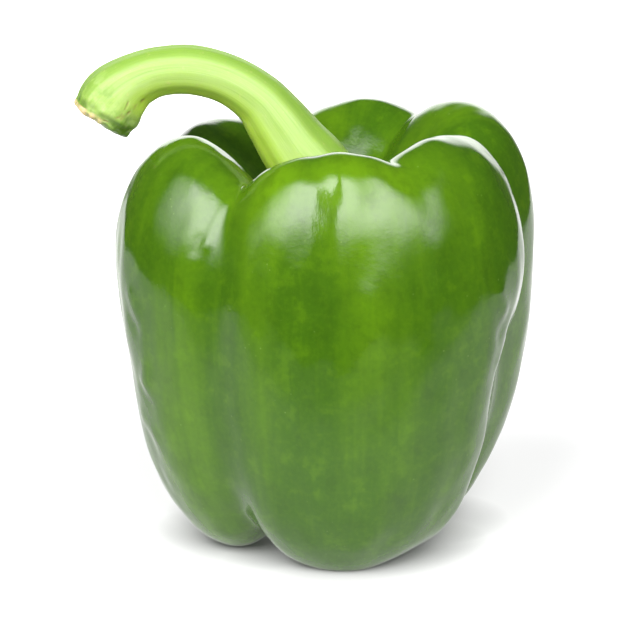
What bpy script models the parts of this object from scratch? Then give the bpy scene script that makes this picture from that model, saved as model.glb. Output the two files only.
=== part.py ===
"""Green bell pepper: a blocky lobed fruit, the calyx sunk in its top, and an arching stalk.

Metres, +Z up.  The fruit stands on the flattened tips of its lobes at Z = 0.
Turns around the fruit are in degrees from -Y and grow towards +X.
Levels run down the fruit's skin: 0 is the middle of the top hollow, 1 the shoulder
ring, 2 the widest ring, 3 the ring of feet and 4 the middle of the blossom end.
Sizes in the tables are in millimetres and MM turns them into metres.
"""

import math

import bmesh
import bpy
from mathutils import Vector

MM = 0.001

# Rings the skin passes through: (turn, radius, height) at each lobe and each saddle.
SHOULDER_RING = [
    (-128, 31.5, 86.6),
    (-111, 30.8, 87.0),
    (-97, 28.5, 86.3),
    (-70, 29.5, 88.2),
    (-42, 28.0, 86.0),
    (-14, 28.5, 87.0),
    (6, 29.0, 87.8),
    (28, 29.5, 88.0),
    (50, 29.0, 89.2),
    (80, 29.5, 89.3),
    (114, 31.8, 91.8),
    (140, 28.5, 90.6),
    (163, 28.5, 89.6),
    (198, 28.0, 86.5),
]
WIDEST_RING = [
    (-128, 42.5, 58.0),
    (-70, 45.4, 60.0),
    (-30, 43.6, 52.0),
    (0, 43.0, 47.0),
    (22, 43.6, 47.0),
    (52, 46.0, 55.0),
    (84, 46.4, 58.0),
    (112, 48.6, 62.0),
    (163, 42.0, 58.0),
]
FEET_RING = [
    (-128, 21.0, -1.8),
    (-80, 19.5, -1.7),
    (-14, 22.5, -1.2),
    (12, 24.5, -1.2),
    (50, 20.0, 0.4),
    (115, 20.0, -3.0),
    (163, 22.0, -1.9),
]
TOP_HOLLOW_HEIGHT = 66.0
BLOSSOM_END_HEIGHT = 14.0

# Creases between the lobes: turn at the shoulder, the widest ring and the feet, depth at
# each, half width, and how far the shoulder's depth reaches down the levels.
CREASES = [
    (-36, -33, -33, 6.8, 3.2, 8.0, 11, 0.55),
    (28, 34, 36, 3.2, 0.15, 0.0, 9, 0.32),
    (86, 86, 84, 7.0, 6.8, 6.0, 10, 0.55),
    (138, 135, 130, 4.6, 3.0, 6.0, 12, 0.55),
    (196, 196, 196, 4.0, 1.5, 3.0, 13, 0.55),
    (-102, -103, -105, 6.0, 3.0, 6.0, 13, 0.55),
]
CREASE_SOFTNESS = 3.0
SIDE_SOFTNESS = 5.0

# Broad dents and swellings: turn, height, spread in turn, spread in height, push outwards.
DENTS = [
    (-85, 38, 22, 16, -1.4),
    (68, 38, 16, 14, -5.0),
    (68, 17, 14, 12, -3.4),
    (114, 38, 18, 13, 0.9),
]

FRUIT_SEGMENTS = 84
FRUIT_ROWS = 40
# Share of the rows in each quarter of the skin, from the top hollow to the blossom end.
ROW_SHARES = (0.24, 0.23, 0.36, 0.17)

CALYX_GAP = 0.5
CALYX_REACH = 0.50
CALYX_POINTS = 6
CALYX_THICKNESS = 1.7
CALYX_BOSS_HEIGHT = 72.3
CALYX_BOSS_RADIUS = 10.0
CALYX_SEGMENTS = 84

# The stalk's middle line and its radius: across, along, up, radius.
STALK = [
    (0.0, 0.0, 72.6, 7.6),
    (-0.8, 0.0, 75.4, 7.6),
    (-2.8, 0.0, 78.9, 7.5),
    (-6.3, 0.0, 83.1, 7.2),
    (-10.0, 0.0, 88.4, 6.4),
    (-13.9, 0.0, 93.2, 5.5),
    (-20.0, 0.0, 97.2, 5.05),
    (-27.3, 0.0, 99.2, 5.05),
    (-34.0, 0.0, 98.9, 5.05),
    (-38.6, 0.0, 97.3, 5.5),
    (-42.0, 0.0, 95.0, 6.4),
    (-44.6, 0.0, 92.4, 6.8),
    (-46.4, 0.0, 90.0, 6.3),
]
STALK_STATIONS = 30
STALK_SEGMENTS = 24
STALK_UPRIGHT_SHARE = 0.16
STALK_RIBS = 6
STALK_RIB_DEPTH = 0.03
CUT_RIM = 1.1
CUT_HOLLOW = 0.5


def clear_scene():
    for obj in list(bpy.data.objects):
        bpy.data.objects.remove(obj, do_unlink=True)


def make_material(name, colour, roughness, coat):
    """A plain surface of one colour with a thin clear coat."""
    material = bpy.data.materials.new(name)
    material.use_nodes = True
    shader = material.node_tree.nodes["Principled BSDF"]
    shader.inputs["Base Color"].default_value = (*colour, 1.0)
    shader.inputs["Roughness"].default_value = roughness
    shader.inputs["Metallic"].default_value = 0.0
    shader.inputs["Coat Weight"].default_value = coat
    return material


def finish_object(name, bm, material):
    """Turns the bmesh, still in millimetres, into a smooth-shaded object in metres."""
    bmesh.ops.scale(bm, vec=(MM, MM, MM), verts=bm.verts)
    bmesh.ops.recalc_face_normals(bm, faces=bm.faces)
    mesh = bpy.data.meshes.new(name)
    bm.to_mesh(mesh)
    bm.free()
    mesh.materials.append(material)
    mesh.shade_smooth()
    mesh.set_sharp_from_angle(angle=math.radians(50))
    obj = bpy.data.objects.new(name, mesh)
    bpy.context.scene.collection.objects.link(obj)
    return obj


def clamp(value, low=0.0, high=1.0):
    return max(low, min(high, value))


def half_turn(angle):
    """The angle brought into -180 to 180 degrees."""
    return (angle + 180.0) % 360.0 - 180.0


def around(ring, turn, column):
    """Smooth value of one column of a ring at any turn, repeating every 360 degrees."""
    knots = sorted((row[0] % 360.0, row[column]) for row in ring)
    knots = (
        [(a - 360.0, v) for a, v in knots[-2:]]
        + knots
        + [(a + 360.0, v) for a, v in knots[:2]]
    )
    turn = turn % 360.0
    i = 1
    while knots[i + 1][0] <= turn:
        i += 1
    before, start, end, after = knots[i - 1 : i + 3]
    step = end[0] - start[0]
    slope_in = (end[1] - before[1]) / (end[0] - before[0])
    slope_out = (after[1] - start[1]) / (after[0] - start[0])
    s = (turn - start[0]) / step
    return (
        start[1] * (2 * s**3 - 3 * s * s + 1)
        + step * slope_in * (s**3 - 2 * s * s + s)
        + end[1] * (3 * s * s - 2 * s**3)
        + step * slope_out * (s**3 - s * s)
    )


def plain_profile(turn, level):
    """(radius, height) of the skin before the creases, from four quarter ovals."""
    shoulder_r = around(SHOULDER_RING, turn, 1)
    shoulder_h = around(SHOULDER_RING, turn, 2)
    wide_r = around(WIDEST_RING, turn, 1)
    wide_h = around(WIDEST_RING, turn, 2)
    feet_r = around(FEET_RING, turn, 1)
    feet_h = around(FEET_RING, turn, 2)
    quarter = math.pi / 2
    if level <= 1:
        rise = math.sin(quarter * clamp((level - 0.12) / 0.88)) ** 1.7
        height = TOP_HOLLOW_HEIGHT + (shoulder_h - TOP_HOLLOW_HEIGHT) * rise
        return shoulder_r * level, height
    if level <= 2:
        s = quarter * (level - 1)
        radius = shoulder_r + (wide_r - shoulder_r) * math.sin(s)
        return radius, wide_h + (shoulder_h - wide_h) * math.cos(s)
    if level <= 3:
        s = quarter * (level - 2)
        radius = feet_r + (wide_r - feet_r) * math.cos(s)
        return radius, wide_h + (feet_h - wide_h) * math.sin(s)
    s = 4 - level
    fall = math.sin(quarter * s) ** 1.6
    return feet_r * s, BLOSSOM_END_HEIGHT + (feet_h - BLOSSOM_END_HEIGHT) * fall


def outward(turn, level):
    """Direction the creases and dents push along: the skin's normal, turned evenly.

    The skin bends sharply at the shoulder and the feet.  Mixing in a direction that
    turns at a steady rate keeps a deep crease from folding over itself there.
    """
    step = 0.01
    low = clamp(level - step, 0.0, 4.0)
    high = clamp(level + step, 0.0, 4.0)
    r0, z0 = plain_profile(turn, low)
    r1, z1 = plain_profile(turn, high)
    normal = Vector((z0 - z1, r1 - r0)).normalized()
    even = math.radians(90.0 * (2.0 - clamp(level, 1.0, 3.0)))
    steady = Vector((math.cos(even), math.sin(even)))
    return (normal * 0.6 + steady * 0.4).normalized()


def crease_depth(turn, level):
    """How far the creases sink the skin here."""
    at_feet = math.exp(-(((level - 3.0) / 0.45) ** 2))
    at_side = math.sin(math.pi * clamp((level - 0.6) / 2.8))
    total = 0.0
    for top, side, feet, top_depth, side_depth, feet_depth, width, reach in CREASES:
        if level <= 2:
            angle = top + (side - top) * clamp(level - 1)
        else:
            angle = side + (feet - side) * clamp(level - 2)
        at_top = math.exp(-(((level - 1.0) / reach) ** 2))
        between = at_side * (1 - at_top) * (1 - at_feet)
        soft = CREASE_SOFTNESS + SIDE_SOFTNESS * between
        rounded = math.hypot(half_turn(turn - angle), soft) - soft
        depth = top_depth * at_top + feet_depth * at_feet + side_depth * between
        total += depth * math.exp(-rounded / width)
    return total * clamp(level / 0.6) * clamp((4 - level) / 0.5)


def skin_point(turn, level, lift=0.0):
    """A point of the fruit's skin, or that far above it."""
    radius, height = plain_profile(turn, level)
    direction = outward(turn, level)
    push = lift - crease_depth(turn, level)
    for dent_turn, dent_height, wide, tall, dent in DENTS:
        if 1 < level < 3.2:
            across = half_turn(turn - dent_turn) / wide
            along = (height - dent_height) / tall
            push += dent * math.exp(-across * across - along * along)
    radius = max(radius + direction[0] * push, 0.0)
    height += direction[1] * push
    angle = math.radians(turn)
    return Vector((radius * math.sin(angle), -radius * math.cos(angle), height))


def row_level(share):
    """Level of a row, given how far down the rows it is from 0 to 1."""
    used = 0.0
    for quarter, part in enumerate(ROW_SHARES):
        if share <= used + part or quarter == 3:
            return quarter + clamp((share - used) / part)
        used += part
    return 4.0


def build_fruit():
    """A globe whose rows become levels down the skin and whose columns become turns."""
    bm = bmesh.new()
    bmesh.ops.create_uvsphere(
        bm, u_segments=FRUIT_SEGMENTS, v_segments=FRUIT_ROWS, radius=1.0
    )
    for vert in bm.verts:
        share = math.acos(clamp(vert.co.z, -1.0, 1.0)) / math.pi
        turn = math.degrees(math.atan2(vert.co.x, -vert.co.y))
        point = skin_point(turn, row_level(share))
        point.z = max(point.z, 0.0)
        vert.co = point
    return finish_object("fruit", bm, fruit_skin())


def calyx_edge(turn):
    """Level that the calyx reaches, further at each of its blunt points."""
    wave = 0.5 + 0.5 * math.cos(math.radians(CALYX_POINTS * (turn - 20)))
    return CALYX_REACH * (0.84 + 0.16 * wave**1.5)


def build_calyx():
    """A flattened globe: its lower half lies along the hollow, its upper half on top."""
    bm = bmesh.new()
    bmesh.ops.create_uvsphere(
        bm, u_segments=CALYX_SEGMENTS, v_segments=14, radius=1.0
    )
    for vert in bm.verts:
        turn = math.degrees(math.atan2(vert.co.x, -vert.co.y))
        polar = math.acos(clamp(vert.co.z, -1.0, 1.0))
        across = math.sin(polar)
        level = calyx_edge(turn) * across
        point = skin_point(turn, level, CALYX_GAP)
        if vert.co.z > -1e-4:
            thick = CALYX_THICKNESS * (0.45 + 0.55 * math.sqrt(max(0.0, 1 - across**2)))
            point = skin_point(turn, level, CALYX_GAP + thick)
            on_boss = math.hypot(point.x, point.y) < CALYX_BOSS_RADIUS
            point.z = CALYX_BOSS_HEIGHT if on_boss else max(point.z, CALYX_BOSS_HEIGHT)
        vert.co = point
    return finish_object("calyx", bm, calyx_green())


def along_stalk(share):
    """(centre, radius) on a smooth line through the stalk's stations."""
    first = [2 * a - b for a, b in zip(STALK[0], STALK[1])]
    last = [2 * a - b for a, b in zip(STALK[-1], STALK[-2])]
    stations = [first, *STALK, last]
    place = share * (len(STALK) - 1)
    i = min(int(place), len(STALK) - 2)
    t = place - i
    values = []
    for a, b, c, d in zip(*stations[i : i + 4]):
        curve = 2 * b + (c - a) * t
        curve += (2 * a - 5 * b + 4 * c - d) * t * t
        curve += (3 * b - a - 3 * c + d) * t**3
        values.append(0.5 * curve)
    return Vector(values[:3]), values[3]


def stalk_section(share):
    """Points of one ribbed cross-section, square to the stalk's middle line."""
    centre, radius = along_stalk(share)
    ahead = along_stalk(clamp(share + 0.005))[0]
    behind = along_stalk(clamp(share - 0.005))[0]
    forward = (ahead - behind).normalized()
    upright = clamp(1 - share / STALK_UPRIGHT_SHARE)
    forward = forward.lerp(Vector((0, 0, 1)), upright).normalized()
    side = Vector((0, 1, 0))
    up = forward.cross(side).normalized()
    points = []
    for k in range(STALK_SEGMENTS):
        angle = math.tau * k / STALK_SEGMENTS
        rib = 1 + STALK_RIB_DEPTH * math.cos(STALK_RIBS * angle)
        points.append(centre + (up * math.cos(angle) + side * math.sin(angle)) * radius * rib)
    return points


def build_stalk():
    """A circle extruded station by station, closed flat at the foot and cut at the end."""
    bm = bmesh.new()
    bmesh.ops.create_circle(bm, segments=STALK_SEGMENTS, radius=1.0, cap_ends=True)
    bm.faces.ensure_lookup_table()
    ring = list(bm.faces[0].verts)
    for vert, point in zip(ring, stalk_section(0.0)):
        vert.co = point
    base = bm.faces[0]
    edges = list(base.edges)
    for station in range(1, STALK_STATIONS + 1):
        made = bmesh.ops.extrude_edge_only(bm, edges=edges)["geom"]
        new_verts = [item for item in made if isinstance(item, bmesh.types.BMVert)]
        edges = [item for item in made if isinstance(item, bmesh.types.BMEdge)]
        edges = [edge for edge in edges if all(vert in new_verts for vert in edge.verts)]
        targets = stalk_section(station / STALK_STATIONS)
        ring = [partner(vert, new_verts) for vert in ring]
        for vert, point in zip(ring, targets):
            vert.co = point
    cap = bm.faces.new(ring)
    bmesh.ops.recalc_face_normals(bm, faces=bm.faces)
    bmesh.ops.inset_region(bm, faces=[cap], thickness=CUT_RIM, depth=-CUT_HOLLOW)
    return finish_object("stem", bm, stalk_green())


def partner(vert, new_verts):
    """The vertex just extruded from this one."""
    return next(
        edge.other_vert(vert) for edge in vert.link_edges if edge.other_vert(vert) in new_verts
    )


def fruit_skin():
    return make_material("fruit_skin", (0.085, 0.215, 0.012), 0.22, 0.4)


def calyx_green():
    return make_material("calyx_green", (0.16, 0.30, 0.04), 0.5, 0.0)


def stalk_green():
    return make_material("stalk_green", (0.42, 0.62, 0.10), 0.42, 0.0)


def centre_on_origin(objects):
    """Moves everything so that the whole pepper stands centred on the origin."""
    points = [vert.co for obj in objects for vert in obj.data.vertices]
    middle_x = (max(p.x for p in points) + min(p.x for p in points)) / 2
    middle_y = (max(p.y for p in points) + min(p.y for p in points)) / 2
    for obj in objects:
        for vert in obj.data.vertices:
            vert.co.x -= middle_x
            vert.co.y -= middle_y


def main():
    clear_scene()
    pieces = [build_fruit(), build_calyx(), build_stalk()]
    centre_on_origin(pieces)


main()
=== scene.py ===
"""Green bell pepper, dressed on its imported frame: skin, calyx, stalk and a white studio."""

import math

import bpy
import numpy as np
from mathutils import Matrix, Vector


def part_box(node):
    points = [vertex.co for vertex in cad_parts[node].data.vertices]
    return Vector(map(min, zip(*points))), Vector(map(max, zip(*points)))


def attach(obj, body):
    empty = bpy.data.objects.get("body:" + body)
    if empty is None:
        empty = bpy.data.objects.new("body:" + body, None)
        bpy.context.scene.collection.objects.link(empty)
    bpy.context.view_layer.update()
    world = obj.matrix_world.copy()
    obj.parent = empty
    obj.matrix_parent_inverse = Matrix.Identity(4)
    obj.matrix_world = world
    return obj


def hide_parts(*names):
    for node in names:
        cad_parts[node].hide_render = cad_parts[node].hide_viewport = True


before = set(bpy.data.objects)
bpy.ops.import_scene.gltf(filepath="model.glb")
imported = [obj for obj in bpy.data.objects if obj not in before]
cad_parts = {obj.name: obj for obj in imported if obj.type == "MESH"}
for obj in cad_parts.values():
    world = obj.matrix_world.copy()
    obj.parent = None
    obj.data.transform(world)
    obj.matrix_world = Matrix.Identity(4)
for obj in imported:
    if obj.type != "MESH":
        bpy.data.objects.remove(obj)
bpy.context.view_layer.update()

bl_info = {
    "name": "Bell Pepper",
    "version": (1, 0, 0),
    "blender": (4, 5, 0),
    "location": "View3D > Sidebar > Pepper",
    "description": "Models a green bell pepper with its calyx, stalk and studio stage",
    "category": "Add Mesh",
}

MM = 0.001

# Rings the skin passes through: (turn, radius, height) at each lobe and each saddle.
# Turns are degrees from -Y, growing towards +X.  Lengths are millimetres.
SHOULDER_RING = [
    (-128, 31.5, 86.6),
    (-111, 30.8, 87.0),
    (-97, 28.5, 86.3),
    (-70, 29.5, 88.2),
    (-42, 28.0, 86.0),
    (-14, 28.5, 87.0),
    (6, 29.0, 87.8),
    (28, 29.5, 88.0),
    (50, 29.0, 89.2),
    (80, 29.5, 89.3),
    (114, 31.8, 91.8),
    (140, 28.5, 90.6),
    (163, 28.5, 89.6),
    (198, 28.0, 86.5),
]
WIDEST_RING = [
    (-128, 42.5, 58.0),
    (-70, 45.4, 60.0),
    (-30, 43.6, 52.0),
    (0, 43.0, 47.0),
    (22, 43.6, 47.0),
    (52, 46.0, 55.0),
    (84, 46.4, 58.0),
    (112, 48.6, 62.0),
    (163, 42.0, 58.0),
]
FEET_RING = [
    (-128, 21.0, -1.8),
    (-80, 19.5, -1.7),
    (-14, 22.5, -1.2),
    (12, 24.5, -1.2),
    (50, 20.0, 0.4),
    (115, 20.0, -3.0),
    (163, 22.0, -1.9),
]
TOP_HOLLOW_HEIGHT = 66.0
BLOSSOM_END_HEIGHT = 14.0

# Levels run from 0 in the middle of the top hollow, over 1 on the shoulder, 2 on the
# widest ring and 3 on the feet, to 4 at the blossom end.
HOLLOW_FLOOR_LEVEL = 0.12
HOLLOW_STEEPNESS = 1.7
BLOSSOM_STEEPNESS = 1.6

# Creases between lobes: turn at shoulder, widest ring and feet, depth at each, half width,
# and how far the shoulder's depth reaches down the levels.
CREASES = [
    (-36, -33, -33, 6.8, 3.2, 8.0, 11, 0.55),
    (28, 34, 36, 3.2, 0.15, 0.0, 9, 0.32),
    (86, 86, 84, 7.0, 6.8, 6.0, 10, 0.55),
    (138, 135, 130, 4.6, 3.0, 6.0, 12, 0.55),
    (196, 196, 196, 4.0, 1.5, 3.0, 13, 0.55),
    (-102, -103, -105, 6.0, 3.0, 6.0, 13, 0.55),
]
CREASE_SOFTNESS = 3.0
SIDE_SOFTNESS = 5.0

# Dents and swellings: turn, height, spread in turn, spread in height, push outwards.
DENTS = [
    (-85, 38, 22, 16, -1.4),
    (68, 38, 16, 14, -5.0),
    (68, 17, 14, 12, -3.4),
    (114, 38, 18, 13, 0.9),
]
# The hollow's wall dips here: turn, spread in turn, level, spread in level, how deep.
WALL_DIP = (158, 24, 0.55, 0.12, 0.9)
# The ripple fades out over this height above the table, so that the feet stay flat.
RIPPLE_FADE = 6.0
# Share of the rows that each of the four levels takes.
ROW_SHARES = (0.24, 0.23, 0.36, 0.17)

# Fine ridges and furrows: turn and height at one end, then the other, half width, push.
MARKS = [
    (-36.5, 77.0, -38.0, 69.0, 1.0, 0.22),
    (-38.0, 69.0, -39.5, 66.0, 1.1, 0.2),
    (-40.5, 69.8, -41.0, 67.6, 1.3, -0.2),
    (-62.5, 56.5, -60.0, 53.5, 1.6, 0.35),
    (-64.0, 51.5, -61.0, 49.5, 1.4, -0.3),
    (-58.0, 41.5, -60.0, 38.5, 1.6, 0.35),
    (-62.0, 36.5, -59.0, 34.0, 1.6, -0.3),
    (-66.0, 30.0, -60.0, 27.0, 2.0, 0.3),
    (50.0, 59.0, 53.0, 55.5, 1.6, 0.35),
    (56.0, 53.0, 52.0, 50.0, 1.6, -0.35),
    (58.0, 47.0, 54.0, 44.0, 1.6, 0.3),
    (-7.0, 62.0, -3.0, 58.0, 2.6, -0.12),
    (12.0, 60.5, 15.0, 55.0, 2.4, 0.12),
    (30.0, 63.0, 31.0, 58.0, 2.2, 0.12),
]

# The calyx: level that its points reach, how many there are, the turn of the first, the
# reach between them as a share, its gap over the skin, its thickness, the height of its
# ribs, and the flat boss that carries the stalk.
CALYX_REACH = 0.50
CALYX_POINTS = 6
CALYX_TURN = 20
CALYX_WAIST = 0.84
CALYX_GAP = 0.2
CALYX_THICKNESS = 1.7
CALYX_RIB = 0.22
CALYX_BOSS_HEIGHT = 72.5
CALYX_BOSS_RADIUS = 6.0

# The stalk's middle line and its radius: across, along, up, radius.
STALK = [
    (0.6, 0.0, 72.2, 8.3),
    (-0.6, 0.0, 75.4, 8.0),
    (-2.8, 0.0, 78.9, 7.7),
    (-6.3, 0.0, 83.1, 7.2),
    (-10.0, 0.0, 88.4, 6.4),
    (-13.9, 0.0, 93.2, 5.5),
    (-20.0, 0.0, 97.2, 5.05),
    (-27.3, 0.0, 99.2, 5.05),
    (-34.0, 0.0, 98.9, 5.05),
    (-38.6, 0.0, 97.3, 5.5),
    (-42.0, 0.0, 95.0, 6.4),
    (-44.6, 0.0, 92.4, 6.8),
    (-46.4, 0.0, 90.0, 6.3),
]
# Ribs of the stalk: how many around, twist along its length, height as share of radius.
STALK_RIBS = [(6, 1.5, 0.022), (11, -2.0, 0.012)]
# Shares of the stalk's rows where the foot's cap ends and the cut face starts.
STALK_FOOT_ROWS = 0.03
STALK_CUT_ROWS = 0.93
# The knob: where along the stalk its underside swells and its top draws in, over what
# length, by how much, how far its top overhangs the cut and how far the cut face domes.
KNOB_START = 0.8
KNOB_TOP_START = 0.88
KNOB_LENGTH = 0.12
KNOB_SWELLING = 0.7
KNOB_DRAW = 0.6
KNOB_OVERHANG = 1.0
CUT_DOME = 1.5
# The rim before the cut: where it starts, its length, its raggedness, and the groove there.
RIM_START = 0.972
RIM_LENGTH = 0.02
RIM_RAGGEDNESS = 0.08
GROOVE_LENGTH = 0.022
GROOVE_DEPTH = 0.1
CRACK_DEPTH = 0.16
# Painted shade on the knob's lower bulge, as seen from the front: across, up, spread.
KNOB_PAINTED_SHADE = (-42.2, 87.6, 2.4)
# The cut's dried rim shows beyond this place across, and fades over the width given.
DRY_RIM = (-45.0, 2.0)
# Cracks of the stalk's knob as seen from the front: points across and up, then half width.
STALK_CRACKS = [
    ([(-43.6, 90.0), (-41.9, 90.9), (-40.8, 92.3), (-40.2, 93.6)], 0.2),
    ([(-42.0, 90.3), (-41.0, 91.1), (-39.6, 91.9), (-38.0, 93.2), (-36.6, 94.0)], 0.26),
    ([(-45.6, 89.9), (-44.6, 89.5), (-43.6, 90.0)], 0.18),
]
# Swellings of the knob: across, up, spread, push outwards.
STALK_BUMPS = [
    (-46.0, 91.2, 1.2, 0.45),
    (-43.6, 92.6, 1.2, -0.15),
    (-42.0, 88.8, 1.9, 0.5),
    (-38.4, 90.8, 1.6, 0.4),
    (-49.2, 94.0, 1.6, 0.25),
    (-40.4, 89.6, 0.9, -0.3),
    (-46.6, 89.8, 1.0, -0.25),
]

# Studio, in metres and degrees.  Each panel of light has its inner and outer azimuth,
# its lowest and highest elevation, and how softly its inner side starts.
TABLE_SIZE = (0.87, 1.75)
TABLE_MIDDLE = (-0.015, 0.635)
LEFT_PANEL = ((-12.5, -84), (22, 58), -2.5)
RIGHT_PANEL = ((3, 70), (20, 58), 4.0)
PANEL_FULL_SHARE = 0.25
PANEL_FOOT_SOFTNESS = 12
PANEL_TOP_SOFTNESS = 7
# The left panel's far side hangs lower: azimuths between which it sinks, and how far.
LEFT_PANEL_TILT = (-48, -75, 7)
# The paper behind: azimuths where it starts, heights (sines) where it ends and begins.
PAPER_SIDES = (148.0, 162.0)
PAPER_TOP = (0.65, 0.42)
PAPER_FOOT = (-0.06, 0.0)
RIGHT_PANEL_SHARE = 0.92
SURROUNDINGS_IN_VIEW = 1.2
CONTACT_REACH = 0.011
# The table's greys: itself, its painted contact shadow under the pepper's feet, and its painted
# shade in front where the skin mirrors it.
# Then how far away (along Y) it turns to that painted shade, and how far out it turns pure white.
TABLE_PALE = (0.62, 0.62, 0.62)
TABLE_SHADED = (0.3, 0.3, 0.3)
TABLE_SHADED_FRONT = (0.22, 0.22, 0.22)
TABLE_SHADED_FRONT_FROM = (-0.06, -0.16)
TABLE_WHITE_FROM = (0.1, 0.22)
AIM_ASIDE = -0.0021
AIM_HEIGHT = 0.048


# ---------------------------------------------------------------- geometry helpers


def half_turn(angle):
    """The same turn, counted from -180 to 180 degrees."""
    return (angle + 180.0) % 360.0 - 180.0


def around(ring, turn, column):
    """Smooth value of one column of a ring at any turn, repeating every 360 degrees."""
    knots = sorted((row[0] % 360.0, row[column]) for row in ring)
    knots = (
        [(a - 360.0, v) for a, v in knots[-2:]]
        + knots
        + [(a + 360.0, v) for a, v in knots[:2]]
    )
    at, value = np.array(knots, float).T
    slope = np.zeros_like(value)
    slope[1:-1] = (value[2:] - value[:-2]) / (at[2:] - at[:-2])
    turn = np.asarray(turn) % 360.0
    i = np.clip(np.searchsorted(at, turn, side="right") - 1, 1, len(at) - 3)
    step = at[i + 1] - at[i]
    s = (turn - at[i]) / step
    return (
        value[i] * (2 * s**3 - 3 * s * s + 1)
        + step * slope[i] * (s**3 - 2 * s * s + s)
        + value[i + 1] * (3 * s * s - 2 * s**3)
        + step * slope[i + 1] * (s**3 - s * s)
    )


def plain_profile(turn, level):
    """(radius, height) of the skin before the creases, from four quarter ovals."""
    shoulder_r = around(SHOULDER_RING, turn, 1)
    shoulder_h = around(SHOULDER_RING, turn, 2)
    wide_r = around(WIDEST_RING, turn, 1)
    wide_h = around(WIDEST_RING, turn, 2)
    feet_r = around(FEET_RING, turn, 1)
    feet_h = around(FEET_RING, turn, 2)
    quarter = math.pi / 2
    top = np.clip(level, 0, 1)
    floor = HOLLOW_FLOOR_LEVEL
    rise_from_floor = np.clip((top - floor) / (1 - floor), 0, 1)
    rise = np.sin(quarter * rise_from_floor) ** HOLLOW_STEEPNESS
    upper = quarter * np.clip(level - 1, 0, 1)
    lower = quarter * np.clip(level - 2, 0, 1)
    end = np.clip(4 - level, 0, 1)
    fall = np.sin(quarter * end) ** BLOSSOM_STEEPNESS
    bands = [level <= 1, level <= 2, level <= 3]
    radius = np.select(
        bands,
        [
            shoulder_r * top,
            shoulder_r + (wide_r - shoulder_r) * np.sin(upper),
            feet_r + (wide_r - feet_r) * np.cos(lower),
        ],
        feet_r * end,
    )
    height = np.select(
        bands,
        [
            TOP_HOLLOW_HEIGHT + (shoulder_h - TOP_HOLLOW_HEIGHT) * rise,
            wide_h + (shoulder_h - wide_h) * np.cos(upper),
            wide_h + (feet_h - wide_h) * np.sin(lower),
        ],
        BLOSSOM_END_HEIGHT + (feet_h - BLOSSOM_END_HEIGHT) * fall,
    )
    return radius, height


def outward(turn, level):
    """Direction the creases and dents push along: the skin's normal, turned evenly."""
    r0, z0 = plain_profile(turn, np.clip(level - 0.01, 0, 4))
    r1, z1 = plain_profile(turn, np.clip(level + 0.01, 0, 4))
    length = np.hypot(z0 - z1, r1 - r0) + 1e-9
    even = np.radians(90.0 * (2.0 - np.clip(level, 1, 3)))
    out_r = 0.6 * (z0 - z1) / length + 0.4 * np.cos(even)
    out_z = 0.6 * (r1 - r0) / length + 0.4 * np.sin(even)
    length = np.hypot(out_r, out_z)
    return out_r / length, out_z / length


def crease_depth(turn, level):
    """How far the creases sink the skin."""
    at_feet = np.exp(-(((level - 3.0) / 0.45) ** 2))
    at_side = np.sin(math.pi * np.clip((level - 0.6) / 2.8, 0, 1))
    total = 0.0
    for top, side, feet, top_depth, side_depth, feet_depth, width, reach in CREASES:
        angle = np.interp(level, [1, 2, 3], [top, side, feet])
        at_top = np.exp(-(((level - 1.0) / reach) ** 2))
        between = at_side * (1 - at_top) * (1 - at_feet)
        soft = CREASE_SOFTNESS + SIDE_SOFTNESS * between
        rounded = np.hypot(half_turn(turn - angle), soft) - soft
        depth = top_depth * at_top + feet_depth * at_feet + side_depth * between
        total = total + depth * np.exp(-rounded / width)
    return total * np.clip(level / 0.6, 0, 1) * np.clip((4 - level) / 0.5, 0, 1)


def skin_points(turn, level, lift=0.0):
    """Points of the fruit's skin in millimetres about its own axis, or lifted above it."""
    radius, height = plain_profile(turn, level)
    out_r, out_z = outward(turn, level)
    push = lift - crease_depth(turn, level)
    side = (level > 1) & (level < 3.2)
    for dent_turn, dent_height, wide, tall, dent in DENTS:
        across = half_turn(turn - dent_turn) / wide
        along = (height - dent_height) / tall
        push = push + dent * np.exp(-across * across - along * along) * side
    radius = np.maximum(radius + out_r * push, 0.0)
    height = height + out_z * push
    angle = np.radians(turn)
    return np.stack([radius * np.sin(angle), -radius * np.cos(angle), height], -1)


def mark_push(points):
    """Height of the fine ridges and furrows at each point of the skin."""
    total = np.zeros(len(points))
    turn = np.degrees(np.arctan2(points[:, 0], -points[:, 1]))
    reach = np.hypot(points[:, 0], points[:, 1])
    for turn_a, height_a, turn_b, height_b, wide, push in MARKS:
        start = np.stack([np.radians(half_turn(turn - turn_a)) * reach, points[:, 2] - height_a])
        across = math.radians(turn_b - turn_a) * reach
        run = np.stack([across, np.full_like(across, height_b - height_a)])
        share = np.clip((start * run).sum(0) / (run * run).sum(0), 0, 1)
        away = np.hypot(*(start - share * run)) / wide
        total += push * np.exp(-away * away)
    return total


def row_level(share):
    """Level of a row, given how far down the rows it is from 0 to 1."""
    ends = np.concatenate([[0.0], np.cumsum(ROW_SHARES)])
    return np.interp(share, ends, np.arange(5.0))


def fruit_axis():
    """Where the fruit's own axis stands in the row frame, from the fruit node's box."""
    low, high = (Vector(corner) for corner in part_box("fruit"))
    turn, level = np.meshgrid(np.arange(-180.0, 180.0, 1.0), np.linspace(1.0, 3.0, 160))
    points = skin_points(turn, level).reshape(-1, 3) * MM
    middle = (points.max(0) + points.min(0)) / 2
    place = (low + high) / 2
    return np.array([place.x - middle[0], place.y - middle[1], 0.0])


AXIS = fruit_axis()


# ---------------------------------------------------------------- mesh helpers


def start_clean():
    """Leaves edit mode and deselects everything, the frame's own nodes included."""
    if bpy.context.mode != "OBJECT":
        bpy.ops.object.mode_set(mode="OBJECT")
    bpy.ops.object.select_all(action="DESELECT")


def read_points(obj):
    """The places of an object's vertices, as rows of three numbers."""
    points = np.empty(len(obj.data.vertices) * 3)
    obj.data.vertices.foreach_get("co", points)
    return points.reshape(-1, 3)


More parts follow.
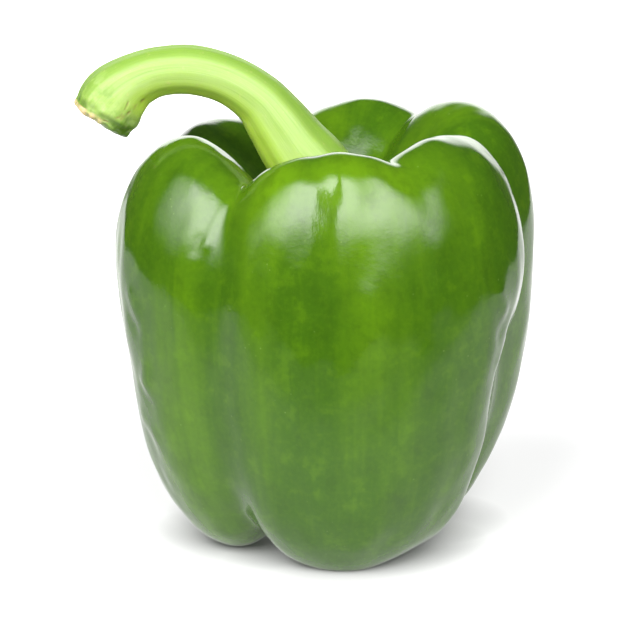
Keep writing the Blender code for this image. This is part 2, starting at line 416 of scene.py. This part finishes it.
def write_points(obj, points):
    """Moves an object's vertices to the places given."""
    obj.data.vertices.foreach_set("co", np.ascontiguousarray(points).ravel())
    obj.data.update()


def store(obj, name, values):
    """Keeps a number or a vector per vertex for the material to read."""
    kind = "FLOAT" if values.ndim == 1 else "FLOAT_VECTOR"
    attribute = obj.data.attributes.new(name, kind, "POINT")
    key = "value" if values.ndim == 1 else "vector"
    attribute.data.foreach_set(key, np.ascontiguousarray(values, np.float32).ravel())


def globe(name, segments, rings):
    """A unit globe, with each vertex's turn in degrees and its share of the way down."""
    start_clean()
    bpy.ops.mesh.primitive_uv_sphere_add(
        segments=segments, ring_count=rings, radius=1.0, location=(0, 0, 0)
    )
    obj = bpy.context.active_object
    obj.name = name
    obj.data.name = name
    points = read_points(obj)
    turn = np.degrees(np.arctan2(points[:, 0], -points[:, 1]))
    share = np.arccos(np.clip(points[:, 2], -1, 1)) / math.pi
    return obj, turn, share


def settle(obj, material, node):
    """Gives the finished piece its material and joins it to the frame."""
    start_clean()
    obj.select_set(True)
    bpy.context.view_layer.objects.active = obj
    bpy.ops.object.shade_smooth()
    obj.data.materials.clear()
    obj.data.materials.append(material)
    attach(obj, "root")
    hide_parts(node)


def waves(points, scale, seed, count=28):
    """Smooth seeded undulation from -1 to 1: a sum of plane waves about one size long."""
    draw = np.random.default_rng(seed)
    total = np.zeros(len(points))
    for _ in range(count):
        direction = draw.normal(size=3)
        direction /= np.linalg.norm(direction)
        pitch = scale * draw.uniform(0.7, 1.5)
        phase = draw.uniform(0, math.tau)
        total += np.sin(points @ direction * (math.tau / pitch) + phase)
    return total / math.sqrt(count / 2)


# ---------------------------------------------------------------- material helpers


class Amount:
    """A number that varies over the surface: a socket that takes part in sums."""

    def __init__(self, finish, socket):
        self.finish = finish
        self.socket = socket

    def _sum(self, operation, first, second):
        node = self.finish.node("ShaderNodeMath", {"operation": operation}, {0: first, 1: second})
        return Amount(self.finish, node.outputs[0])

    def __add__(self, other):
        return self._sum("ADD", self, other)

    __radd__ = __add__

    def __sub__(self, other):
        return self._sum("SUBTRACT", self, other)

    def __rsub__(self, other):
        return self._sum("SUBTRACT", other, self)

    def __mul__(self, other):
        return self._sum("MULTIPLY", self, other)

    __rmul__ = __mul__

    def __pow__(self, other):
        return self._sum("POWER", self, other)

    def __neg__(self):
        return self._sum("MULTIPLY", self, -1.0)

    def apart(self, operation, other=0.0):
        """Any other sum of a Math node, such as a sine or an arctangent."""
        return self._sum(operation, self, other)


class Finish:
    """One material, or the world, while its nodes are laid out."""

    def __init__(self, owner):
        owner.use_nodes = True
        self.owner = owner
        self.tree = owner.node_tree
        self.tree.nodes.clear()

    def node(self, kind, settings=None, inputs=None):
        """Adds a node of one kind, with its settings, then its sockets' values or links."""
        made = self.tree.nodes.new(kind)
        for name, value in (settings or {}).items():
            setattr(made, name, value)
        for key, value in (inputs or {}).items():
            self.plug(made.inputs[key], value)
        return made

    def plug(self, socket, value):
        """Links a socket to another, or sets its value."""
        if isinstance(value, Amount):
            value = value.socket
        if isinstance(value, bpy.types.NodeSocket):
            self.tree.links.new(value, socket)
        elif socket.type == "RGBA" and len(value) == 3:
            socket.default_value = (*value, 1.0)
        else:
            socket.default_value = value

    def position(self):
        return self.node("ShaderNodeTexCoord").outputs["Object"]

    def vector(self, name):
        return self.node("ShaderNodeAttribute", {"attribute_name": name}).outputs["Vector"]

    def number(self, name):
        node = self.node("ShaderNodeAttribute", {"attribute_name": name})
        return Amount(self, node.outputs["Fac"])

    def parts(self, vector):
        node = self.node("ShaderNodeSeparateXYZ", None, {0: vector})
        return [Amount(self, socket) for socket in node.outputs]

    def scaled(self, vector, scale):
        return self.node("ShaderNodeMapping", None, {"Vector": vector, "Scale": scale}).outputs[0]

    def noise(self, vector, scale, detail=2.0, roughness=0.5, distortion=0.0):
        inputs = {
            "Vector": vector,
            "Scale": scale,
            "Detail": detail,
            "Roughness": roughness,
            "Distortion": distortion,
        }
        return Amount(self, self.node("ShaderNodeTexNoise", None, inputs).outputs["Fac"])

    def spots(self, vector, scale):
        """Distance from the nearest of many scattered points."""
        node = self.node("ShaderNodeTexVoronoi", None, {"Vector": vector, "Scale": scale})
        return Amount(self, node.outputs["Distance"])

    def between(self, value, low, high, start=0.0, end=1.0):
        """Smooth step from start at low to end at high."""
        node = self.node(
            "ShaderNodeMapRange",
            {"interpolation_type": "SMOOTHSTEP"},
            {0: value, 1: low, 2: high, 3: start, 4: end},
        )
        return Amount(self, node.outputs[0])

    def blend(self, factor, first, second):
        """Colour from first at factor 0 to second at factor 1."""
        node = self.node("ShaderNodeMix", {"data_type": "RGBA", "clamp_factor": True})
        self.plug(node.inputs[0], factor)
        self.plug(node.inputs[6], first)
        self.plug(node.inputs[7], second)
        return node.outputs[2]

    def bump(self, height, distance, strength):
        inputs = {"Height": height, "Distance": distance, "Strength": strength}
        return self.node("ShaderNodeBump", None, inputs).outputs[0]

    def mixed(self, factor, first, second):
        """The first shader at factor 0, the second at factor 1."""
        sockets = {0: factor, 1: first.outputs[0], 2: second.outputs[0]}
        return self.node("ShaderNodeMixShader", None, sockets)

    def added(self, first, second):
        sockets = {0: first.outputs[0], 1: second.outputs[0]}
        return self.node("ShaderNodeAddShader", None, sockets)

    def surface(self, shader, output="ShaderNodeOutputMaterial"):
        """Makes a shader the surface of the material or of the world."""
        self.plug(self.node(output).inputs["Surface"], shader.outputs[0])
        return self.owner

    def camera_ray(self):
        return self.node("ShaderNodeLightPath").outputs["Is Camera Ray"]

    def principled(self, inputs):
        return self.surface(self.node("ShaderNodeBsdfPrincipled", None, inputs))


def new_material(name):
    return Finish(bpy.data.materials.new(name))


def darker(colour, share):
    return tuple(share * channel for channel in colour)


# ---------------------------------------------------------------- the three finishes


def waxed_skin(colours):
    """Deep green wax-glossed skin with paler streaks running from stalk to blossom end."""
    f = new_material("waxed_green_skin")
    place = f.position()
    meridian = f.vector("meridian")
    level = f.parts(meridian)[2]
    broad = f.noise(f.scaled(meridian, (2.6, 2.6, 0.5)), 1.0, 2.0, 0.5)
    streak = f.noise(f.scaled(meridian, (7.0, 7.0, 0.9)), 1.0, 3.0, 0.6, 0.4)
    fine = f.noise(f.scaled(meridian, (34.0, 34.0, 6.0)), 1.0, 3.0, 0.6, 0.5)
    mottle = f.noise(place, 190.0, 4.0, 0.62)
    grain = f.noise(place, 1300.0, 2.0, 0.5)
    # Broad streaks, plus painted light: lime painted on the shoulder band that faces the front,
    # where the panels light the skin most.
    lit_shoulder_band = f.between(level, 1.78, 1.35) * f.between(level, 0.9, 1.3)
    deep = tuple(colours.skin_deep)
    lime = tuple(colours.skin_lime)
    pale = tuple(colours.skin_pale)
    amount = f.between(broad * 0.68 + streak * 0.32, 0.42, 0.66) * 0.4
    lit_front_share = f.between(f.parts(meridian)[0], 0.55, 0.98)
    colour = f.blend(amount + lit_shoulder_band * lit_front_share * 0.42, deep, lime)
    colour = f.blend(f.between(fine, 0.48, 0.8) * 0.07, colour, lime)
    colour = f.blend(f.between(mottle, 0.5, 0.7) * 0.28, colour, darker(deep, 0.6))
    colour = f.blend(f.between(mottle, 0.47, 0.3) * 0.2, colour, lime)
    # Pores, then a few pale specks.
    pores = f.noise(place, 1000.0, 2.0, 0.6)
    colour = f.blend(f.between(pores, 0.45, 0.7) * 0.07, colour, lime)
    colour = f.blend(f.between(pores, 0.5, 0.3) * 0.08, colour, darker(deep, 0.6))
    specks = f.between(f.spots(place, 420.0), 0.11, 0.03)
    specks = specks * f.between(f.noise(place, 95.0), 0.52, 0.62)
    colour = f.blend(specks * 0.2, colour, pale)
    # Paler in the top hollow, where the skin meets the calyx.
    hollow = f.between(level, 0.55, 0.12)
    colour = f.blend(hollow * 0.35, colour, pale)
    rough = 0.09 + grain * 0.03 + f.between(mottle, 0.4, 0.7) * 0.03
    height = mottle * 0.8 + fine * 0.1 + grain * 0.1
    normal = f.bump(height, 0.00012, 0.7)
    return f.principled(
        {
            "Base Color": colour,
            "Roughness": rough,
            "Normal": normal,
            "IOR": 1.45,
            "Specular IOR Level": 0.43,
            "Subsurface Weight": 0.06,
            "Subsurface Radius": (0.4, 1.0, 0.1),
            "Subsurface Scale": 0.003,
        }
    )


def calyx_leaf(colours):
    """Matt ribbed green of the calyx, paler towards its edge."""
    f = new_material("calyx_green")
    place = f.position()
    meridian = f.vector("meridian")
    reach = f.parts(meridian)[2]
    ribs = f.noise(f.scaled(meridian, (11.0, 11.0, 0.6)), 1.0, 3.0, 0.6)
    mottle = f.noise(place, 420.0, 4.0, 0.6)
    green = tuple(colours.calyx)
    pale = tuple(colours.stalk_pale)
    colour = f.blend(f.between(ribs, 0.4, 0.7) * 0.45, green, pale)
    colour = f.blend(f.between(mottle, 0.5, 0.75) * 0.3, colour, darker(green, 0.5))
    colour = f.blend(f.between(reach, 0.9, 1.0) * 0.5, colour, tuple(colours.dry))
    normal = f.bump(ribs * 0.6 + mottle * 0.4, 0.00025, 0.8)
    return f.principled(
        {
            "Base Color": colour,
            "Roughness": 0.45 + mottle * 0.2,
            "Normal": normal,
            "Subsurface Weight": 0.08,
            "Subsurface Radius": (0.5, 1.0, 0.2),
            "Subsurface Scale": 0.003,
        }
    )


def fibrous_stalk(colours):
    """Light green stalk with soft lengthwise fibres, a scarred knob and a tan cut end."""
    f = new_material("stalk_green")
    place = f.position()
    along = f.vector("along")
    under, _, share = f.parts(along)
    cut = f.number("cut")
    dry = f.number("dry")
    groove_and_painted_shade = f.number("groove_and_painted_shade")
    painted_knob_shade = f.number("painted_knob_shade")
    fibre = f.noise(f.scaled(along, (20.0, 20.0, 4.0)), 1.0, 3.0, 0.65)
    broad = f.noise(f.scaled(along, (3.0, 3.0, 3.5)), 1.0, 2.0, 0.5)
    blotch = f.noise(place, 260.0, 3.0, 0.6)
    mottle = f.noise(place, 900.0, 3.0, 0.6)
    green = tuple(colours.stalk)
    pale = tuple(colours.stalk_pale)
    deep = tuple(colours.stalk_deep)
    knob = f.between(share, 0.78, 0.9)
    edge = f.between(under, -0.35, -0.95)
    colour = f.blend(f.between(broad, 0.38, 0.66) * 0.3, green, pale)
    # Painted bounce light: the underside of the arch is painted a lighter yellow-green.
    colour = f.blend(f.between(under, 0.1, 0.8) * (1 - knob), colour, tuple(colours.stalk_painted_bounce))
    # Painted shade: the knob's lower bulge is painted dark green.
    colour = f.blend(painted_knob_shade, colour, tuple(colours.painted_knob_shade))
    # Painted shade: the top side of the stalk is painted deep green.
    colour = f.blend(edge * 0.8, colour, deep)
    colour = f.blend(f.between(fibre, 0.48, 0.72) * 0.14, colour, pale)
    colour = f.blend(f.between(fibre, 0.5, 0.3) * 0.3, colour, deep)
    colour = f.blend(knob * f.between(blotch, 0.5, 0.62) * 0.55, colour, deep)
    colour = f.blend(knob * f.between(blotch, 0.46, 0.36) * 0.3, colour, pale)
    colour = f.blend(f.between(mottle, 0.6, 0.75) * 0.2, colour, tuple(colours.dry))
    # Painted shade: the groove before the cut and the middle of the cut face are painted darker
    # green.
    colour = f.blend(groove_and_painted_shade * 0.7, colour, darker(deep, 0.55))
    colour = f.blend(dry * f.between(mottle, 0.3, 0.55, 0.3, 0.7), colour, tuple(colours.dry_brown))
    colour = f.blend(cut, colour, tuple(colours.dry))
    normal = f.bump(fibre * 0.7 + mottle * 0.3, 0.00012, 0.7)
    return f.principled(
        {
            "Base Color": colour,
            "Roughness": 0.4 + mottle * 0.15 + cut * 0.3,
            "Normal": normal,
            "Subsurface Weight": 0.45,
            "Subsurface Radius": (0.8, 1.0, 0.2),
            "Subsurface Scale": 0.006,
        }
    )


# ---------------------------------------------------------------- settings


def colour_setting(name, description, default):
    return bpy.props.FloatVectorProperty(
        name=name,
        description=description,
        default=default,
        subtype="COLOR",
        min=0.0,
        max=1.0,
    )


class PepperColours(bpy.types.PropertyGroup):
    """Colours of the skin, calyx and stalk."""

    skin_deep: colour_setting("Deep green", "Main colour of the skin", (0.031, 0.083, 0.003))
    skin_lime: colour_setting("Lime", "Colour of the lighter streaks", (0.098, 0.205, 0.004))
    skin_pale: colour_setting("Pale speck", "Colour of the small specks", (0.22, 0.34, 0.08))
    calyx: colour_setting("Calyx", "Colour of the calyx", (0.13, 0.26, 0.03))
    stalk: colour_setting("Stalk", "Main colour of the stalk", (0.265, 0.395, 0.082))
    stalk_pale: colour_setting("Pale stalk", "Lighter fibres", (0.42, 0.55, 0.19))
    stalk_deep: colour_setting("Deep stalk", "Darker fibres", (0.14, 0.27, 0.02))
    # Painted bounce light under the stalk's arch.
    stalk_painted_bounce: colour_setting("Underside", "Under the stalk's arch", (0.4, 0.58, 0.06))
    # Painted shade on the knob's lower bulge.
    painted_knob_shade: colour_setting("Painted knob shade", "Dark side of the knob", (0.075, 0.17, 0.006))
    dry: colour_setting("Dry rim", "Colour of the dried cut", (0.56, 0.42, 0.22))
    dry_brown: colour_setting("Scar", "Colour of the cracks", (0.22, 0.12, 0.04))


class PepperDetail(bpy.types.PropertyGroup):
    """How finely each piece is meshed."""

    skin_segments: bpy.props.IntProperty(
        name="Skin segments", description="Columns around the fruit", default=400, min=48
    )
    skin_rings: bpy.props.IntProperty(
        name="Skin rings", description="Rows from stalk to blossom end", default=220, min=24
    )
    calyx_segments: bpy.props.IntProperty(
        name="Calyx segments", description="Columns around the calyx", default=240, min=48
    )
    calyx_rings: bpy.props.IntProperty(
        name="Calyx rings", description="Rows from its top to its underside", default=60, min=16
    )
    stalk_segments: bpy.props.IntProperty(
        name="Stalk segments", description="Columns around the stalk", default=200, min=24
    )
    stalk_rings: bpy.props.IntProperty(
        name="Stalk rings", description="Rows from its foot to its cut", default=430, min=60
    )
    ripple: bpy.props.FloatProperty(
        name="Ripple",
        description="Height of the skin's faint unevenness",
        default=0.00012,
        unit="LENGTH",
    )


class PepperStudio(bpy.types.PropertyGroup):
    """Camera and lights."""

    camera_distance: bpy.props.FloatProperty(
        name="Camera distance",
        description="From the camera to the middle of the pepper",
        default=0.6,
        unit="LENGTH",
    )
    camera_elevation: bpy.props.FloatProperty(
        name="Camera elevation",
        description="Camera's height above the horizon",
        default=math.radians(14.0),
        subtype="ANGLE",
    )
    lens: bpy.props.FloatProperty(
        name="Lens", description="Focal length in millimetres", default=162.857
    )
    panel_glow: bpy.props.FloatProperty(
        name="Panel glow", description="Brightness of the two light panels", default=13.3
    )
    paper_glow: bpy.props.FloatProperty(
        name="Paper glow", description="Brightness of the paper behind", default=3.0
    )
    room_glow: bpy.props.FloatProperty(
        name="Room glow", description="Brightness of the rest of the room", default=0.06
    )


# ---------------------------------------------------------------- operators


class PEPPER_OT_skin(bpy.types.Operator):
    """Models the lobed fruit with its creases, dents and waxed skin"""

    bl_idname = "pepper.skin"
    bl_label = "Fruit"

    def execute(self, context):
        detail = context.scene.pepper_detail
        obj, turn, share = globe("pepper_fruit", detail.skin_segments, detail.skin_rings)
        level = row_level(share)
        points = skin_points(turn, level)
        out_r, out_z = outward(turn, level)
        angle = np.radians(turn)
        normal = np.stack([out_r * np.sin(angle), -out_r * np.cos(angle), out_z], -1)
        stretched = points * (1.0, 1.0, 0.45)
        ripple = waves(stretched, 13.0, 3) + 0.35 * waves(stretched, 5.0, 8)
        fade = np.clip(points[:, 2] / RIPPLE_FADE, 0, 1)
        wall_turn, wide, wall_level, tall, dip = WALL_DIP
        across = half_turn(turn - wall_turn) / wide
        points[:, 2] -= dip * np.exp(-(across**2) - ((level - wall_level) / tall) ** 2)
        push = ripple * fade * detail.ripple / MM
        push = push + mark_push(points) * (level > 1) * (level < 2.8)
        points = points + normal * push[:, None]
        points[:, 2] = np.maximum(points[:, 2], 0.0)
        write_points(obj, points * MM + AXIS)
        store(obj, "meridian", np.stack([np.cos(angle), np.sin(angle), level], -1))
        settle(obj, waxed_skin(context.scene.pepper_colours), "fruit")
        return {"FINISHED"}


class PEPPER_OT_calyx(bpy.types.Operator):
    """Models the blunt-pointed calyx that lies in the fruit's top hollow"""

    bl_idname = "pepper.calyx"
    bl_label = "Calyx"

    def execute(self, context):
        detail = context.scene.pepper_detail
        obj, turn, share = globe("pepper_calyx", detail.calyx_segments, detail.calyx_rings)
        across = np.sin(share * math.pi)
        lobe = np.radians(CALYX_POINTS * (turn - CALYX_TURN))
        wave = 0.5 + 0.5 * np.cos(lobe)
        edge = CALYX_REACH * (CALYX_WAIST + (1 - CALYX_WAIST) * wave**1.5)
        edge = edge * (1 + 0.02 * np.cos(np.radians(5 * turn + 40)))
        level = edge * across
        top = share <= 0.5
        dome = np.sqrt(np.maximum(0.0, 1 - across**2))
        ribs = CALYX_RIB * np.cos(2 * lobe) * across * dome
        thick = np.where(top, CALYX_THICKNESS * (0.45 + 0.55 * dome) + ribs, 0.0)
        points = skin_points(turn, level, CALYX_GAP + thick)
        radius = np.hypot(points[:, 0], points[:, 1])
        beyond = np.maximum(radius - CALYX_BOSS_RADIUS, 0.0)
        boss = CALYX_BOSS_HEIGHT - 0.16 * beyond**1.5
        points[:, 2] = np.where(top, np.maximum(points[:, 2], boss), points[:, 2])
        write_points(obj, points * MM + AXIS)
        angle = np.radians(turn)
        store(obj, "meridian", np.stack([np.cos(angle), np.sin(angle), across], -1))
        settle(obj, calyx_leaf(context.scene.pepper_colours), "calyx")
        return {"FINISHED"}


def track_nearness(points, track, width):
    """From 1 on a line seen from the front to 0 away from it."""
    best = np.full(len(points), 1e9)
    flat = points[:, [0, 2]]
    for start, end in zip(np.array(track[:-1]), np.array(track[1:])):
        run = end - start
        share = np.clip((flat - start) @ run / (run @ run), 0, 1)
        away = np.linalg.norm(flat - start - share[:, None] * run, axis=1)
        best = np.minimum(best, away)
    return np.exp(-((best / width) ** 2))


def stalk_line(share):
    """Centres, radii and forward directions along the stalk, smooth through its stations."""
    table = np.array(STALK)
    table = np.vstack([2 * table[0] - table[1], table, 2 * table[-1] - table[-2]])

    def at(place):
        place = np.clip(place, 0, 1) * (len(STALK) - 1)
        i = np.minimum(place.astype(int), len(STALK) - 2)
        t = (place - i)[:, None]
        a, b, c, d = (table[i + k] for k in range(4))
        curve = 2 * b + (c - a) * t + (2 * a - 5 * b + 4 * c - d) * t**2
        return 0.5 * (curve + (3 * b - a - 3 * c + d) * t**3)

    here = at(share)
    forward = at(share + 0.004)[:, :3] - at(share - 0.004)[:, :3]
    forward /= np.linalg.norm(forward, axis=1, keepdims=True)
    return here[:, :3], here[:, 3], forward


class PEPPER_OT_stalk(bpy.types.Operator):
    """Models the arching ribbed stalk with its swollen, cut end"""

    bl_idname = "pepper.stalk"
    bl_label = "Stalk"

    def execute(self, context):
        detail = context.scene.pepper_detail
        obj, turn, share = globe("pepper_stalk", detail.stalk_segments, detail.stalk_rings)
        angle = np.radians(turn)
        foot_rows, cut_rows = STALK_FOOT_ROWS, STALK_CUT_ROWS
        run = np.clip((share - foot_rows) / (cut_rows - foot_rows), 0, 1)
        run = run + 0.3 * np.sin(math.pi * run) / math.pi
        centre, radius, forward = stalk_line(run)
        side = np.array([0.0, 1.0, 0.0])
        up = np.cross(forward, side)
        up /= np.linalg.norm(up, axis=1, keepdims=True)
        ribs = sum(high * np.cos(many * angle + twist * run) for many, twist, high in STALK_RIBS)
        flare = np.exp(-run / 0.08)
        radius = radius * (1 + ribs * (0.8 + 0.6 * flare))
        inner = np.where(share < foot_rows, share / foot_rows, 1.0)
        face = np.clip((1 - share) / (1 - cut_rows), 0, 1)
        beyond = share > cut_rows
        inner = np.where(beyond, np.cos(0.5 * math.pi * (1 - face)), inner)
        around_axis = up * np.cos(angle)[:, None] + side * np.sin(angle)[:, None]
        plain = centre + around_axis * radius[:, None]
        front = np.clip(-around_axis[:, 1] * 2.0, 0, 1)
        ragged = waves(plain, 2.2, 5)
        crack = np.zeros(len(plain))
        for track, width in STALK_CRACKS:
            crack = np.maximum(crack, track_nearness(plain, track, width) * front)
        crack = crack * np.clip(0.6 + 0.5 * waves(plain, 1.3, 8), 0, 1)
        push = -CRACK_DEPTH * crack
        for across, height, spread, amount in STALK_BUMPS:
            away = np.hypot(plain[:, 0] - across, plain[:, 2] - height) / spread
            push += amount * np.exp(-away * away) * front
        swell = np.clip((run - KNOB_START) / KNOB_LENGTH, 0, 1)
        belly = swell * swell * (3 - 2 * swell) * np.clip(np.cos(angle), 0, 1)
        drawn = np.clip((run - KNOB_TOP_START) / KNOB_LENGTH, 0, 1)
        crown = np.clip(-np.cos(angle), 0, 1) * drawn
        push += KNOB_SWELLING * belly - KNOB_DRAW * crown
        rim = np.clip((run - RIM_START) / RIM_LENGTH, 0, 1)
        groove_and_painted_shade = np.exp(-(((run - RIM_START) / GROOVE_LENGTH) ** 2)) * front
        push += RIM_RAGGEDNESS * rim * ragged - GROOVE_DEPTH * groove_and_painted_shade * (1 + 0.3 * ragged)
        outer = (radius + push * np.clip(run / 0.3, 0, 1)) * inner
        points = centre + around_axis * outer[:, None]
        dome = CUT_DOME * np.sin(0.5 * math.pi * (1 - face)) * beyond
        overhang = (0.1 * ragged * rim + KNOB_OVERHANG * crown) * inner
        points = points + forward * (dome + overhang)[:, None]
        write_points(obj, points * MM + AXIS)
        store(obj, "along", np.stack([np.cos(angle), np.sin(angle), run], -1))
        ring = np.clip((0.97 - face) / 0.1, 0, 1) * np.clip((face - 0.25) / 0.2, 0, 1)
        ring = np.maximum(ring * beyond, np.clip((run - 0.98) / 0.01, 0, 1) * (face > 0.25))
        ring = ring * np.clip((DRY_RIM[0] - plain[:, 0]) / DRY_RIM[1], 0, 1)
        store(obj, "cut", np.clip(ring * (0.9 + 0.5 * ragged), 0, 1))
        # Painted shade on the knob's lower bulge, placed as seen from the front.
        across, height, spread = KNOB_PAINTED_SHADE
        painted_knob_shade = np.hypot(plain[:, 0] - across, plain[:, 2] - height) / spread
        store(obj, "painted_knob_shade", np.clip(np.exp(-painted_knob_shade * painted_knob_shade) * (1.2 + 0.4 * ragged), 0, 1))
        store(obj, "dry", np.clip(crack, 0, 1))
        # Painted shade for the groove before the cut and for the cut face's middle.
        store(obj, "groove_and_painted_shade", np.clip(groove_and_painted_shade * (0.6 + 0.6 * ragged) + beyond * 1.2, 0, 1))
        settle(obj, fibrous_stalk(context.scene.pepper_colours), "stem")
        return {"FINISHED"}


def light_panel(f, azimuth, elevation, sides, ends, softness):
    """Tall panel of light: crisp at its inner side, fading towards its outer side."""
    inner, outer = sides
    bottom, top = ends
    across = f.between(azimuth, inner - softness, inner + softness)
    full = inner + (outer - inner) * PANEL_FULL_SHARE
    across = across * f.between(azimuth, full, outer, 1.0, 0.0)
    rise = f.between(elevation, bottom - PANEL_FOOT_SOFTNESS, bottom + PANEL_FOOT_SOFTNESS)
    return across * rise * f.between(elevation, top + PANEL_TOP_SOFTNESS, top - PANEL_TOP_SOFTNESS)


def studio_world(studio):
    """Two tall panels in a dark room, white paper behind; the lens itself sees white."""
    world = bpy.data.worlds.new("studio")
    f = Finish(world)
    direction = f.node("ShaderNodeTexCoord").outputs["Generated"]
    across, away, height = f.parts(direction)
    azimuth = across.apart("ARCTAN2", -away) * math.degrees(1)
    elevation = height.apart("ARCSINE") * math.degrees(1)
    tilt_start, tilt_end, tilt = LEFT_PANEL_TILT
    tilted = elevation + f.between(azimuth, tilt_start, tilt_end) * tilt
    left = light_panel(f, azimuth, tilted, *LEFT_PANEL)
    right = light_panel(f, azimuth, elevation, *RIGHT_PANEL) * RIGHT_PANEL_SHARE
    sides = [side**2 for side in PAPER_SIDES]
    paper = f.between(azimuth * azimuth, *sides) * f.between(height, *PAPER_TOP)
    paper = paper * f.between(height, *PAPER_FOOT) * f.between(height, 0.0, 0.25, 0.55, 1.0)
    glow = studio.room_glow + (left + right) * studio.panel_glow + paper * studio.paper_glow
    room = f.node("ShaderNodeBackground", None, {"Color": glow})
    white = {"Color": (1.0, 1.0, 1.0), "Strength": SURROUNDINGS_IN_VIEW}
    seen = f.node("ShaderNodeBackground", None, white)
    f.surface(f.mixed(f.camera_ray(), room, seen), "ShaderNodeOutputWorld")
    bpy.context.scene.world = world


def white_table():
    """Pale table: white in view with painted soft contact shadows; for the skin, painted shade in
    front and a faint painted glow.
    """
    f = new_material("white_table")
    across, away, _ = f.parts(f.position())
    reach = (across * across + away * away) ** 0.5
    contact = f.node("ShaderNodeAmbientOcclusion", {"samples": 16}, {"Distance": CONTACT_REACH})
    contact = Amount(f, contact.outputs["AO"])
    front = f.between(away, *TABLE_SHADED_FRONT_FROM)
    # Painted contact shadow: ambient occlusion darkens the table's colour under the feet.
    shade = f.blend(contact, TABLE_SHADED, TABLE_PALE)
    seen = f.node("ShaderNodeBsdfDiffuse", None, {"Color": shade})
    # The glow that keeps the table white in view dims in the painted contact shadow.
    glow = 0.3 * contact + f.between(reach, *TABLE_WHITE_FROM) * 0.7
    white = f.added(seen, f.node("ShaderNodeEmission", None, {"Color": glow}))
    # Seen only by the skin and by bounce light: painted shade in front and a faint painted glow
    # further back.
    shaded_front = f.blend(front, TABLE_PALE, TABLE_SHADED_FRONT)
    matt = f.node("ShaderNodeBsdfDiffuse", None, {"Color": shaded_front})
    dim = f.node("ShaderNodeEmission", None, {"Color": 0.1 + 0.14 * (1 - front)})
    return f.surface(f.mixed(f.camera_ray(), f.added(matt, dim), white))


def aim(obj, place, target):
    """Puts an object at a place, looking at the target."""
    obj.location = place
    obj.rotation_euler = (target - place).to_track_quat("-Z", "Y").to_euler()


class PEPPER_OT_stage(bpy.types.Operator):
    """Sets the white table, the panels of light, the surroundings and the camera"""

    bl_idname = "pepper.stage"
    bl_label = "Stage"

    def execute(self, context):
        studio = context.scene.pepper_studio
        scene = context.scene
        scene.view_settings.view_transform = "Standard"
        scene.view_settings.look = "None"
        start_clean()
        bpy.ops.mesh.primitive_plane_add(size=1.0, location=(0, 0, 0))
        floor = bpy.context.active_object
        floor.name = "white_table"
        corners = read_points(floor) * (*TABLE_SIZE, 1.0) + (*TABLE_MIDDLE, 0.0)
        write_points(floor, corners)
        floor.data.materials.append(white_table())
        studio_world(studio)
        start_clean()
        bpy.ops.object.camera_add(location=(0, -1, 0))
        camera = bpy.context.active_object
        camera.name = "camera"
        camera.data.lens = studio.lens
        camera.data.sensor_width = 36.0
        camera.data.clip_start = 0.01
        target = Vector((AXIS[0] + AIM_ASIDE, AXIS[1], AIM_HEIGHT))
        tilt = studio.camera_elevation
        offset = Vector((0, -math.cos(tilt), math.sin(tilt))) * studio.camera_distance
        aim(camera, target + offset, target)
        scene.camera = camera
        return {"FINISHED"}


class PEPPER_PT_panel(bpy.types.Panel):
    """Buttons and settings for the pepper"""

    bl_label = "Bell Pepper"
    bl_idname = "PEPPER_PT_panel"
    bl_space_type = "VIEW_3D"
    bl_region_type = "UI"
    bl_category = "Pepper"

    def draw(self, context):
        layout = self.layout
        for kind in OPERATORS:
            layout.operator(kind.bl_idname)
        scene = context.scene
        for group in (scene.pepper_colours, scene.pepper_detail, scene.pepper_studio):
            box = layout.box()
            for name in group.__annotations__:
                box.prop(group, name)


GROUPS = {
    "pepper_colours": PepperColours,
    "pepper_detail": PepperDetail,
    "pepper_studio": PepperStudio,
}
OPERATORS = (PEPPER_OT_skin, PEPPER_OT_calyx, PEPPER_OT_stalk, PEPPER_OT_stage)


def register():
    for kind in (*GROUPS.values(), *OPERATORS, PEPPER_PT_panel):
        bpy.utils.register_class(kind)
    for name, group in GROUPS.items():
        setattr(bpy.types.Scene, name, bpy.props.PointerProperty(type=group))


def unregister():
    for name in GROUPS:
        delattr(bpy.types.Scene, name)
    for kind in reversed((*GROUPS.values(), *OPERATORS, PEPPER_PT_panel)):
        bpy.utils.unregister_class(kind)


def main():
    register()
    bpy.ops.pepper.skin()
    bpy.ops.pepper.calyx()
    bpy.ops.pepper.stalk()
    bpy.ops.pepper.stage()


if __name__ == "__main__":
    main()
